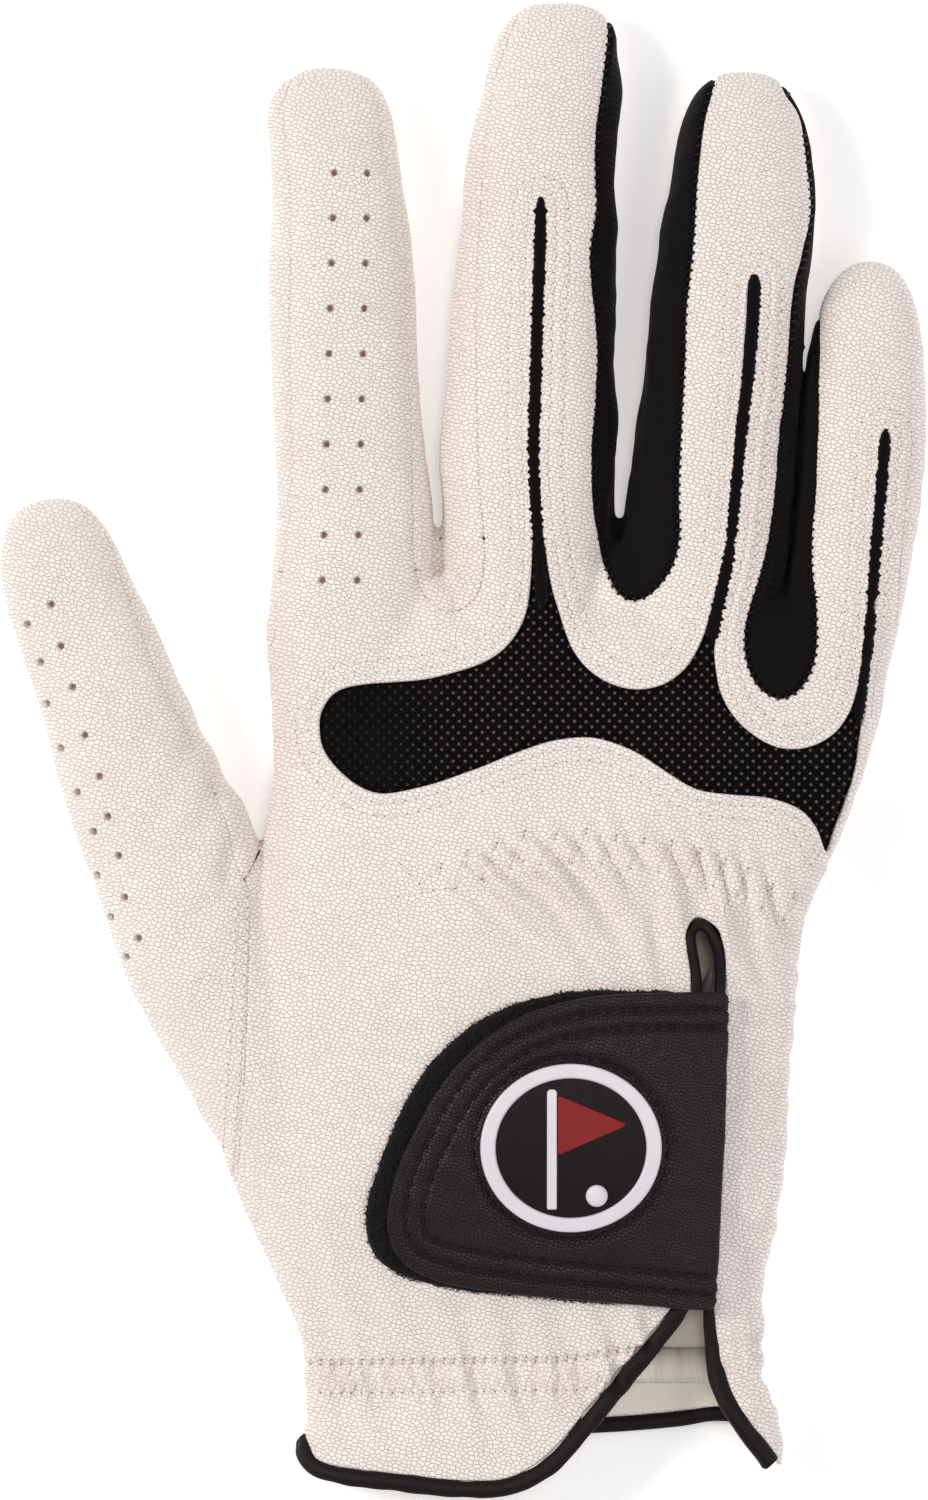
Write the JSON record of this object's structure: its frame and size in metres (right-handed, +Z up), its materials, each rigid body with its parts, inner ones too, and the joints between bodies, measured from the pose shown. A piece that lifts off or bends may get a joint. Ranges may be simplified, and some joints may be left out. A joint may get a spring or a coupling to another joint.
{
  "type": "golf glove",
  "caption": "White leather golf glove for the right hand, laid palm down, with black stretch knuckle mesh, finger side panels and a hook-and-loop wrist tab over a vent.",
  "frame": {"origin": "under the middle of the glove, on the surface that it lies on", "axes": "+X towards the little finger, +Y towards the fingertips, +Z up, out of the back of the hand"},
  "size_m": [0.1442, 0.2342, 0.0255],
  "materials": {
    "white_leather": "fine pebble grain, low sheen",
    "black_leather": "fine grain, low sheen",
    "stretch_mesh": "knitted mesh, matte",
    "black_stretch_fabric": "woven stretch fabric, matte",
    "binding_tape": "smooth folded tape",
    "elastic_band": "ribbed woven elastic",
    "hook_and_loop": "napped pile",
    "badge_rubber": "moulded, satin",
    "emblem_rubber": "moulded, satin"
  },
  "bodies": {
    "hand": {"back_panel": "white_leather", "hem_binding_back": "binding_tape", "hem_binding_palm": "binding_tape", "knuckle_elastic": "elastic_band", "knuckle_mesh": "stretch_mesh", "lapel_binding": "binding_tape", "little_knuckle": "white_leather", "loop_patch": "hook_and_loop", "middle_knuckle": "white_leather", "palm_panel": "white_leather", "ring_knuckle": "white_leather", "thumb_gusset": "white_leather", "thumb_web": "white_leather", "vent_binding": "binding_tape", "web_index_middle": "white_leather", "web_middle_ring": "black_stretch_fabric", "web_ring_little": "black_stretch_fabric", "wrist_elastic_back": "elastic_band", "wrist_elastic_palm": "elastic_band"},
    "closure_tab": {"tab_cover": "black_leather", "tab_hook_pad": "hook_and_loop", "tab_badge": "badge_rubber", "badge_emblem": "emblem_rubber"},
    "thumb": {"thumb_back": "white_leather", "thumb_palm": "white_leather", "thumb_side": "white_leather"},
    "index": {"index_back": "white_leather", "index_fourchette_radial": "white_leather", "index_fourchette_ulnar": "white_leather", "index_palm": "white_leather"},
    "middle": {"middle_back": "white_leather", "middle_fourchette_radial": "white_leather", "middle_fourchette_ulnar": "black_stretch_fabric", "middle_mesh_strip": "stretch_mesh", "middle_palm": "white_leather"},
    "ring": {"ring_back": "white_leather", "ring_fourchette_radial": "black_stretch_fabric", "ring_fourchette_ulnar": "black_stretch_fabric", "ring_mesh_strip": "stretch_mesh", "ring_palm": "white_leather"},
    "little": {"little_back": "white_leather", "little_fourchette_radial": "black_stretch_fabric", "little_mesh_strip": "stretch_mesh", "little_palm": "white_leather"}
  },
  "joints": [
    {"name": "closure_peel", "type": "hinge", "parent": "hand", "child": "closure_tab", "pos_m": [0.03927, -0.06243, 0.0195], "axis": [0.0481, 0.9946, 0.0922], "range_deg": [0, 160]},
    {"name": "thumb_lift", "type": "hinge", "parent": "hand", "child": "thumb", "pos_m": [-0.05044, -0.00447, 0.01742], "axis": [0.9417, 0.3363, 0], "range_deg": [0, 40]},
    {"name": "index_lift", "type": "hinge", "parent": "hand", "child": "index", "pos_m": [-0.01734, 0.03392, 0.01732], "axis": [0.9999, 0.0111, 0], "range_deg": [0, 45]},
    {"name": "middle_lift", "type": "hinge", "parent": "hand", "child": "middle", "pos_m": [0.01022, 0.03896, 0.01768], "axis": [0.9999, -0.0167, 0], "range_deg": [0, 45]},
    {"name": "ring_lift", "type": "hinge", "parent": "hand", "child": "ring", "pos_m": [0.03798, 0.03869, 0.01719], "axis": [0.9961, -0.0885, 0], "range_deg": [0, 45]},
    {"name": "little_lift", "type": "hinge", "parent": "hand", "child": "little", "pos_m": [0.0606, 0.02913, 0.01585], "axis": [0.9897, -0.143, 0], "range_deg": [0, 45]}
  ]
}
